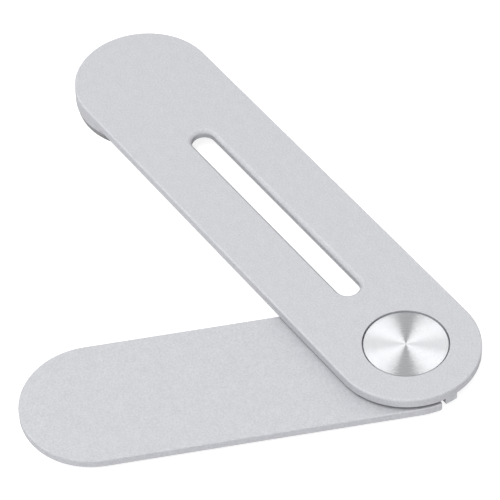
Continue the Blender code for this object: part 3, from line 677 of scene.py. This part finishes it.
def under_arm_outline():
    """The arm's underside: the rim from the boss round the heel, in round the lug, and back."""
    side_steps = HALF_TURN_STEPS // 2
    return np.vstack((arc(0, PLATE_RADIUS, pi / 2, pi - LUG_TURN, side_steps),
                      [[LUG_INNER, LUG_HALF], [LUG_INNER, -LUG_HALF]],
                      arc(0, PLATE_RADIUS, pi + LUG_TURN, 3 * pi / 2, side_steps),
                      arc(ARM_LENGTH, PLATE_RADIUS, 3 * pi / 2, pi / 2)))


def straight(top, bottom):
    """A plain wall's profile."""
    return np.array([[0, top, 0], [0, bottom, 0]])


print("arm outline", len(arm_outline()), "points, lug", len(lug_outline()))

# %% Arm
SLOT_CHAMFER = 1.0 * MM
COUNTERBORE_EDGE = 0.06 * MM
LUG_ROUND = 0.75 * MM


def make_arm():
    """Plate, boss, lug, slot, counterbore and pocket, welded at the rings they share."""
    shell = Shell()
    outline = arm_outline()
    slot = strip(*SLOT_ENDS, SLOT_RADIUS)
    bore = circle(0, COUNTERBORE_RADIUS)
    boss = circle(ARM_LENGTH, PLATE_RADIUS)
    pocket = circle(ARM_LENGTH, BOSS_POCKET_RADIUS)
    key = KEY_HALF * np.array([[1, -1], [1, 1], [-1, 1], [-1, -1]])
    rim = rounded_edge(EDGE_ROUND, ARM_TOP, ARM_BOTTOM)
    slot_edge = chamfered_edge(SLOT_CHAMFER, ARM_TOP, ARM_BOTTOM, EDGE_BREAK)
    bore_edge = rounded_edge(COUNTERBORE_EDGE, ARM_TOP, COUNTERBORE_FLOOR)
    boss_edge = rounded_edge(EDGE_BREAK, BOSS_BOTTOM, ARM_BOTTOM)[::-1]
    lug_edge = rounded_edge(LUG_ROUND, LUG_BOTTOM, ARM_BOTTOM)[::-1]
    shell.wall(outline, rim)
    shell.wall(slot, slot_edge, hole=True)
    shell.wall(bore, bore_edge, hole=True)
    shell.wall(key, straight(COUNTERBORE_FLOOR, ARM_BOTTOM), hole=True)
    shell.wall(boss, boss_edge)
    shell.wall(pocket, straight(BOSS_CEILING, BOSS_BOTTOM), hole=True)
    shell.wall(lug_outline(), lug_edge)
    shell.flat((moved_in(outline, rim[0, 0]), moved_in(slot, -slot_edge[0, 0]),
                moved_in(bore, -bore_edge[0, 0])), ARM_TOP, True)
    shell.flat((bore, key), COUNTERBORE_FLOOR, True)
    shell.flat((under_arm_outline(), moved_in(slot, -slot_edge[-1, 0]), key), ARM_BOTTOM, False)
    shell.flat((moved_in(boss, boss_edge[-1, 0]), pocket), BOSS_BOTTOM, False)
    shell.flat((pocket,), BOSS_CEILING, False)
    shell.flat((moved_in(lug_outline(), lug_edge[-1, 0]),), LUG_BOTTOM, False)
    shell.piece("arm", "arm", ANODISED, "anodised", "arm_plate")


make_arm()

# %% [markdown]
# ## The base plate
#
# The base plate is thinner, with a small chamfer where the arm's rim is rounded. Its heel is
# stepped back between two shoulders, which stop the arm's lug. A cutter leaves the corners of
# such a step round, so the outline is eased over a millimetre and a half, where a plain offset
# of the arcs would give corners as sharp as a knife. A wider easing would fill the step's inner
# corner, and the lug would cut into it at the end of its swing.

# %% Base plate
CHAMFER = 0.25 * MM
SHOULDER_EASE = 1.5 * MM
RIM_STEPS = 8
shoulder_run = (PLATE_RADIUS * cos(RIM_END) - RELIEF_RADIUS * cos(RELIEF_END),
                PLATE_RADIUS * sin(RIM_END) - RELIEF_RADIUS * sin(RELIEF_END))
SHOULDER_TURN = atan2(shoulder_run[1], shoulder_run[0])
SHOULDER_OFFSET = PLATE_RADIUS * sin(SHOULDER_TURN - RIM_END)


def base_outline(inset=0.0):
    """Tip, straight sides, rim as far as each shoulder, and the stepped-back heel between them.

    A shoulder is a straight line that runs beside a radius, at a fixed offset from it. On a
    circle of radius r it ends at the radius's angle less asin(offset / r).
    """
    rim, relief, offset = PLATE_RADIUS - inset, RELIEF_RADIUS - inset, SHOULDER_OFFSET + inset
    rim_end = SHOULDER_TURN - asin(offset / rim)
    relief_end = SHOULDER_TURN - asin(offset / relief)
    return np.vstack((arc(BASE_LENGTH, rim, -pi / 2, pi / 2),
                      arc(0, rim, pi / 2, rim_end, RIM_STEPS),
                      arc(0, relief, relief_end, 2 * pi - relief_end),
                      arc(0, rim, 2 * pi - rim_end, 3 * pi / 2, RIM_STEPS)))


def make_base():
    """Plate with the bore and, from below, the pocket for the spring stack."""
    shell = Shell()
    outline = eased(base_outline(), SHOULDER_EASE)
    bore = circle(0, BORE_RADIUS)
    pocket = circle(0, POCKET_RADIUS)
    edge = chamfered_edge(CHAMFER, BASE_TOP, BASE_BOTTOM, EDGE_BREAK)
    pocket_edge = rounded_edge(EDGE_BREAK, BASE_BOTTOM, WEB_BOTTOM)[::-1]
    shell.wall(outline, edge)
    shell.wall(bore, straight(BASE_TOP, WEB_BOTTOM), hole=True)
    shell.wall(pocket, pocket_edge, hole=True)
    shell.flat((moved_in(outline, edge[0, 0]), bore), BASE_TOP, True)
    shell.flat((pocket, bore), WEB_BOTTOM, False)
    foot = moved_in(outline, edge[-1, 0]), moved_in(pocket, -pocket_edge[-1, 0])
    shell.flat(foot, BASE_BOTTOM, False)
    shell.piece("base", "base", ANODISED, "anodised", "base_plate")


make_base()

# %% [markdown]
# ## The pivot
#
# A bright turned cap closes the counterbore over the stud's head and sits a quarter of a
# millimetre down in it, so a thin dark ring runs round it. It is a shallow disc with a fine
# chamfer and a dish of a few hundredths, which pulls the light into a fan. Below, in the base
# plate's pocket, a nut clamps two disc springs against the plate, and its face shows in the
# window of the foam pad. A lathe piece is one profile turned round the axis. The nut is turned as
# well, with a radius that follows the hexagon until the cone of its chamfer is nearer.

# %% Cap
CAP_CHAMFER = 0.10 * MM
CAP_DISH = 0.03 * MM
CAP_ROWS = 24
CHAMFER_BULGE = 0.2, 0.7            # of the chamfer: its fullest point, in from the side and down


def disc_profile(radius, top, bottom, edge, dish=0.0):
    """Axis to rim along a dish of depth d (1 - (r / R)^2), over a chamfer, down and back in."""
    reach = np.linspace(0, radius - edge, CAP_ROWS)
    depth = dish * (1 - (reach / reach[-1]) ** 2)
    face = np.column_stack((reach, top - depth, np.zeros(CAP_ROWS)))
    aside, down = CHAMFER_BULGE
    side = np.array([[radius - edge * aside, top - edge * down, 1], [radius, top - edge, 0.6],
                     [radius, bottom + edge, 0], [radius - edge, bottom, 0.4], [0, bottom, 0]])
    return np.vstack((face, side))


def make_cap():
    shell = Shell()
    low, high = level("pivot_cap")
    radius = corners("pivot_cap", "arm")[:, 0].max()
    shell.turned(disc_profile(radius, high, low, CAP_CHAMFER, CAP_DISH))
    shell.piece("cap", "arm", TURNED, "turned_cap", "pivot_cap")


make_cap()

# %% Nut, keyed washer and disc springs
THREAD_PITCH = 0.7 * MM
THREAD_DEPTH = 0.3 * MM
NUT_CHAMFER_SLOPE = radians(30)
NUT_ROWS = 25
HOLE_SHARE = 0.6                    # of the keyed washer's radius: its hole lies inside this
HOLE_STEPS = 24
PUNCH_ROLL = 0.1 * MM
PUNCH_FOOT = 0.05 * MM
SPRING_RING = 0.1 * MM              # corners no further than this from a rim belong to it
SPRING_EASE = 0.05 * MM


def make_nut():
    """Hexagon: radius = half the width over flats / cos(angle from the nearest flat's middle)."""
    low, high = level("pivot_nut")
    reach = np.hypot(*corners("pivot_nut", "arm")[:, :2].T)
    bore = reach.min()
    half = reach.max() * cos(pi / 6)

    def hexagon(radius, angle, height):
        flat_turn = (angle + pi / 6) % (pi / 3) - pi / 6
        side = half / np.cos(flat_turn)
        cone = half + np.minimum(height - low, high - height) / np.tan(NUT_CHAMFER_SLOPE)
        return np.where(radius < half, radius, np.minimum(side, cone))

    rows = np.linspace(high, low, NUT_ROWS)
    outside = np.column_stack((np.full(NUT_ROWS, half), rows, np.zeros(NUT_ROWS)))
    crest = bore + THREAD_DEPTH * 0.5 * (1 + np.cos(2 * pi * (rows[::-1] - low) / THREAD_PITCH))
    inside = np.column_stack((crest, rows[::-1], np.zeros(NUT_ROWS)))
    ring = np.vstack((outside, inside, outside[:1]))
    shell = Shell()
    shell.turned(ring, shape=hexagon)
    shell.piece("nut", "arm", ZINC, "zinc_steel", "pivot_nut")


def make_keyed_washer():
    """A stamped ring whose hole has the stud's two flats, with the rolled edge a punch leaves."""
    low, high = level("keyed_washer")
    points = corners("keyed_washer", "arm")
    reach = np.hypot(points[:, 0], points[:, 1])
    of_hole = reach < reach.max() * HOLE_SHARE
    half_flat, hole_radius = np.abs(points[of_hole][:, 1]).max(), reach[of_hole].max()
    corner = asin(half_flat / hole_radius)
    hole = np.vstack((arc(0, hole_radius, -corner, corner, HOLE_STEPS),
                      arc(0, hole_radius, pi - corner, pi + corner, HOLE_STEPS)))
    edge = edge_to_edge(PUNCH_ROLL, high, PUNCH_FOOT, low)
    outside = circle(0, reach.max())
    shell = Shell()
    shell.wall(outside, edge)
    shell.wall(hole, straight(high, low), hole=True)
    shell.flat((moved_in(outside, edge[0, 0]), hole), high, True)
    shell.flat((moved_in(outside, edge[-1, 0]), hole), low, False)
    shell.piece("flatted_washer", "arm", ZINC, "zinc_steel", "keyed_washer")


def make_spring(node, name):
    """A shallow cone: the section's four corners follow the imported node, with rounded edges."""
    points = corners(node, "arm")
    reach = np.hypot(points[:, 0], points[:, 1])
    outer, inner = reach.max(), reach.min()
    rim = points[reach > outer - SPRING_RING][:, 2]
    bore = points[reach < inner + SPRING_RING][:, 2]
    ease = SPRING_EASE
    section = np.array([[inner + ease, bore.max(), 0.4], [outer - ease, rim.max(), 0.8],
                        [outer, rim.max() - ease, 0.8], [outer, rim.min() + ease, 0.8],
                        [outer - ease, rim.min(), 0.8], [inner + ease, bore.min(), 0.4],
                        [inner, bore.min() + ease, 0.4], [inner, bore.max() - ease, 0.4],
                        [inner + ease, bore.max(), 0.4]])
    shell = Shell()
    shell.turned(section)
    shell.piece(name, "arm", SPRING, "spring_steel", node)


make_nut()
make_keyed_washer()
make_spring("disc_spring_upper", "upper_spring")
make_spring("disc_spring_lower", "lower_spring")

# %% [markdown]
# ## The puck and the foam pad
#
# A moulded grey carrier with six magnets plugs into the boss, and a soft silicone disc covers
# its face. The band that shows leans in slightly, as a mould needs, under a neck that stands back
# from the boss. The foam pad under the base plate is die cut, and foam squeezed by the die keeps
# a slight waist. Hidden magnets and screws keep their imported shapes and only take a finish.

# %% Carrier and face disc
CARRIER_DRAFT = 0.06 * MM
CARRIER_LIP = 0.45 * MM             # height of the neck between the boss and the band
CARRIER_RING = 0.3 * MM             # corners no further than this from the side belong to it
NECK_BACK = 0.7 * MM
NECK_BREAK = 0.1 * MM, 0.05 * MM    # across and down, as in the three below
BAND_CROWN = 0.1 * MM, 0.03 * MM
BAND_EDGE = 0.12 * MM
FOOT_EDGE = 0.2 * MM
FOOT_BULGE = 0.05 * MM, 0.07 * MM
FACE_RIBS = 5
FACE_RIB_DEPTH = 0.06 * MM
FACE_RIB_START = 0.62               # the ribbed band, as shares of the flat's radius
FACE_RIB_SPAN = 0.3
FACE_ROWS = 160
FACE_ROUND = 0.3 * MM
FACE_ROUND_STEPS = 8
FACE_BREAK = 0.05 * MM


def make_carrier():
    """The disc below the boss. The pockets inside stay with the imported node's neighbours."""
    low = level("magnet_carrier")[0]
    points = corners("magnet_carrier", "arm")
    reach = np.hypot(points[:, 0] - ARM_LENGTH, points[:, 1])
    outer = reach.max()
    top = points[reach > outer - CARRIER_RING][:, 2].max()
    neck, side_top, foot = outer - NECK_BACK, top - CARRIER_LIP, outer - CARRIER_DRAFT
    profile = np.array([[0, top, 0], [neck - NECK_BREAK[0], top, 0], [neck, top - NECK_BREAK[1], 0.3],
                        [neck, side_top, 0], [outer - BAND_CROWN[0], side_top - BAND_CROWN[1], 0.8],
                        [outer, side_top - BAND_EDGE, 1], [foot, low + FOOT_EDGE, 0],
                        [foot - FOOT_BULGE[0], low + FOOT_BULGE[1], 1], [foot - FOOT_EDGE, low, 0.5],
                        [0, low, 0]])
    shell = Shell()
    shell.turned(profile, ARM_LENGTH)
    shell.piece("carrier_disc", "arm", CARRIER, "grey_plastic", "magnet_carrier")


def make_face():
    """Silicone disc: its face has shallow rings, a cosine of the radius, and a rounded rim."""
    low, high = level("face_pad")
    points = corners("face_pad", "arm")
    outer = np.hypot(points[:, 0] - ARM_LENGTH, points[:, 1]).max()
    turn = np.linspace(0, pi / 2, FACE_ROUND_STEPS + 1)
    rim = np.column_stack((outer - FACE_ROUND * (1 - np.cos(turn)),
                           low + FACE_ROUND * (1 - np.sin(turn)), 0.6 * np.sin(2 * turn)))
    flat_end = outer - FACE_ROUND
    reach = np.linspace(flat_end, 0, FACE_ROWS)
    band = np.clip((reach - FACE_RIB_START * flat_end) / (FACE_RIB_SPAN * flat_end), 0, 1)
    wave = 0.5 * (1 - np.cos(2 * pi * FACE_RIBS * band))
    face = np.column_stack((reach, low + FACE_RIB_DEPTH * wave, 0.3 * wave))
    profile = np.vstack(([0, high, 0], [outer - FACE_BREAK, high, 0],
                         [outer, high - FACE_BREAK, 0.5], rim, face[1:]))
    shell = Shell()
    shell.turned(profile, ARM_LENGTH)
    shell.piece("face_disc", "arm", SILICONE, "soft_rubber", "face_pad")


make_carrier()
make_face()

# %% Foam pad
FOAM_WAIST = 0.12 * MM
FOAM_FULLNESS = 0.7                 # power that squares the waist's half sine off a little
FOAM_INSET = 0.02 * MM
FOAM_ROWS = 9


def make_foam():
    """The base plate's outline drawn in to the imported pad's, with a round window at the pivot."""
    low, high = level("adhesive_pad")
    points = corners("adhesive_pad", "base")
    inset = PLATE_RADIUS - points[:, 1].max()
    reach = np.hypot(points[:, 0], points[:, 1])
    window = circle(0, reach.min())
    outline = eased(base_outline(inset), SHOULDER_EASE)
    share = np.linspace(0, 1, FOAM_ROWS)
    waist = FOAM_WAIST * np.sin(pi * share) ** FOAM_FULLNESS
    profile = np.column_stack((waist + FOAM_INSET, high + (low - high) * share, 1 - waist / FOAM_WAIST))
    shell = Shell()
    shell.wall(outline, profile)
    shell.wall(window, profile, hole=True)
    loops = moved_in(outline, profile[0, 0]), moved_in(window, -profile[0, 0])
    shell.flat(loops, high, True)
    shell.flat(loops, low, False)
    shell.piece("foam_tape", "base", FOAM, "foam", "adhesive_pad")


make_foam()

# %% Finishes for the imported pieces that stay
STAYING = {
    "pivot_stud": ZINC, "yoke_plate": ZINC, "thrust_washer": PLASTIC, "slide_washer": PLASTIC,
    **{name: NICKEL for name in NODES if name.startswith("magnet_") and name != "magnet_carrier"},
    **{name: ZINC for name in NODES if name.startswith("carrier_screw_")},
}
for name, finish_for_node in STAYING.items():
    NODES[name].data.materials.clear()
    NODES[name].data.materials.append(finish_for_node)
print("packed pieces with a new finish:", len(STAYING))

# %% [markdown]
# ## Studio
#
# A pale floor under two long light panels that lean together like a tent, left and right of the
# camera. They leave a dark strip overhead, in line with the camera, and that strip draws the two
# dark wedges on the turned cap. Each panel has three lengths with a dimmer middle, so the fan is
# not one even white, and the strip widens a little away from the camera. The panels show only in
# reflections. A broad light over the camera's left shoulder does the opposite and lights only
# matt shading: it sets the tops, the walls and the thin dark line under the arm without glinting
# on the rounded rims. Split like this, each light can be set without spoiling the other's work.
# The floor is overexposed where the camera looks at it, and grey for the light that bounces off
# it, so that the plates' sides stay darker than their tops. Nothing here belongs to the bracket.

# %% Camera
VIEW_AZIMUTH = radians(-122.563)
VIEW_ELEVATION = radians(46.552)
VIEW_ROLL = radians(2.927)
LENS = 234.08
DISTANCE = 769.2 * MM
AIM_RIGHT = -36.881 * MM
AIM_UP = 22.019 * MM
NEAREST, FARTHEST = 0.05, 50

behind = Vector((sin(VIEW_AZIMUTH) * cos(VIEW_ELEVATION), -cos(VIEW_AZIMUTH) * cos(VIEW_ELEVATION),
                 sin(VIEW_ELEVATION)))
level_right = Vector((cos(VIEW_AZIMUTH), sin(VIEW_AZIMUTH), 0))
level_up = behind.cross(level_right)
right = cos(VIEW_ROLL) * level_right - sin(VIEW_ROLL) * level_up
up = sin(VIEW_ROLL) * level_right + cos(VIEW_ROLL) * level_up
cap_centre = Vector((PIVOT.x, PIVOT.y, ARM_TOP))
camera = bpy.data.objects.new("camera", bpy.data.cameras.new("camera"))
bpy.context.scene.collection.objects.link(camera)
camera.data.lens = LENS
camera.data.clip_start = NEAREST
camera.data.clip_end = FARTHEST
stand = cap_centre + AIM_RIGHT * right + AIM_UP * up + DISTANCE * behind
camera.matrix_world = Matrix.Translation(stand) @ Matrix((right, up, behind)).transposed().to_4x4()
bpy.context.scene.camera = camera
print("camera at", tuple(round(c, 3) for c in camera.location))

# %% Floor
FLOOR_RADIUS = 12.0
FLOOR_STEPS = 64
FLOOR_DROP = 0.05 * MM
FLOOR_LIFT = 0.85
FLOOR_SEEN = (0.35, 0.35, 0.35, 1)
FLOOR_BOUNCE = (0.70, 0.70, 0.71, 1)


def floor_finish():
    """White where the camera sees it and grey where it lights the object, with faint shadows."""
    made = bpy.data.materials.new("pale floor")
    made.use_nodes = True
    tree = made.node_tree
    tree.nodes.clear()
    bright = put(tree, "ShaderNodeBsdfDiffuse", {"Color": FLOOR_SEEN}).outputs[0]
    lift = put(tree, "ShaderNodeEmission", {"Color": (1, 1, 1, 1), "Strength": FLOOR_LIFT}).outputs[0]
    seen = put(tree, "ShaderNodeAddShader", {0: bright, 1: lift}).outputs[0]
    grey = put(tree, "ShaderNodeBsdfDiffuse", {"Color": FLOOR_BOUNCE}).outputs[0]
    looking = put(tree, "ShaderNodeLightPath").outputs["Is Camera Ray"]
    both = put(tree, "ShaderNodeMixShader", {0: looking, 1: grey, 2: seen}).outputs[0]
    put(tree, "ShaderNodeOutputMaterial", {"Surface": both})
    return made


ground = bpy.data.meshes.new("floor")
floor_rim = circle(0, FLOOR_RADIUS, FLOOR_STEPS)
floor_level = np.full(FLOOR_STEPS, CAD_BOX[0][2] - FLOOR_DROP)
ground.from_pydata(np.column_stack((floor_rim, floor_level)).tolist(), [], [list(range(FLOOR_STEPS))])
floor = bpy.data.objects.new("floor", ground)
bpy.context.scene.collection.objects.link(floor)
ground.materials.append(floor_finish())
print("floor of", FLOOR_RADIUS, "m at", round(floor_level[0] / MM, 2), "mm")

# %% Light panels and room
PANEL_WIDTH = 1.38
PANEL_REACH = 0.66
PANEL_LEAN = radians(45)
PANEL_SPREAD = radians(3.4)
PANEL_STARTS = (-0.2, 0.62, 1.5)
PANEL_STOPS = (0.62, 1.5, 9.0)
PANEL_RADIANCE = (0.84, 0.44, 0.84)
ROOM_LIGHT = 0.455
ROOM_SEEN = 1.1

level_away = cap_centre - camera.matrix_world.translation
level_away.z = 0
level_away.normalize()
panel_right = level_away.cross(Vector((0, 0, 1)))


def make_panel(side, start, stop, radiance):
    """One length of a leaning panel, from start to stop metres beyond the bracket."""
    lamp = bpy.data.lights.new("panel", "AREA")
    lamp.shape = "RECTANGLE"
    lamp.size = PANEL_WIDTH
    lamp.size_y = stop - start
    lamp.energy = pi * radiance * PANEL_WIDTH * (stop - start)
    panel = bpy.data.objects.new("panel", lamp)
    bpy.context.scene.collection.objects.link(panel)
    along = cos(PANEL_SPREAD) * level_away + side * sin(PANEL_SPREAD) * panel_right
    sideways = along.cross(Vector((0, 0, 1)))
    facing = side * sin(PANEL_LEAN) * sideways + Vector((0, 0, cos(PANEL_LEAN)))
    foot = PIVOT + side * PANEL_REACH * panel_right + Vector((0, 0, PANEL_REACH))
    panel.matrix_world = (Matrix.Translation(foot + (start + stop) / 2 * along)
                          @ Matrix((along.cross(facing), along, facing)).transposed().to_4x4())
    panel.visible_camera = False
    panel.visible_diffuse = False


FRONT_DISTANCE = 2.0
FRONT_SIZE = 1.2
FRONT_ELEVATION = radians(66)
FRONT_TURN = radians(28)            # round to the camera's left
FRONT_POWER = 43.0

front_lamp = bpy.data.lights.new("front light", "AREA")
front_lamp.size = FRONT_SIZE
front_lamp.energy = FRONT_POWER
front = bpy.data.objects.new("front light", front_lamp)
bpy.context.scene.collection.objects.link(front)
front_side = cos(FRONT_TURN) * panel_right - sin(FRONT_TURN) * level_away
front_level = -cos(FRONT_TURN) * level_away - sin(FRONT_TURN) * panel_right
front_axis = cos(FRONT_ELEVATION) * front_level + Vector((0, 0, sin(FRONT_ELEVATION)))
front_turn = Matrix((front_side, front_axis.cross(front_side), front_axis)).transposed()
front.matrix_world = Matrix.Translation(FRONT_DISTANCE * front_axis) @ front_turn.to_4x4()
front.visible_camera = False
front.visible_glossy = False

for side in (-1, 1):
    for start, stop, radiance in zip(PANEL_STARTS, PANEL_STOPS, PANEL_RADIANCE):
        make_panel(side, start, stop, radiance)

world = bpy.data.worlds.new("room")
bpy.context.scene.world = world
world.use_nodes = True
room = world.node_tree
room.nodes.clear()
room_seen = put(room, "ShaderNodeLightPath").outputs["Is Camera Ray"]
room_grey = put(room, "ShaderNodeBackground", {"Color": (1, 1, 1, 1), "Strength": ROOM_LIGHT}).outputs[0]
room_white = put(room, "ShaderNodeBackground", {"Color": (1, 1, 1, 1), "Strength": ROOM_SEEN}).outputs[0]
room_both = put(room, "ShaderNodeMixShader", {0: room_seen, 1: room_grey, 2: room_white}).outputs[0]
put(room, "ShaderNodeOutputWorld", {"Surface": room_both})
bpy.context.scene.view_settings.view_transform = "Standard"
print("panels at", PANEL_REACH, "m, front light at", FRONT_DISTANCE, "m, room light", ROOM_LIGHT)
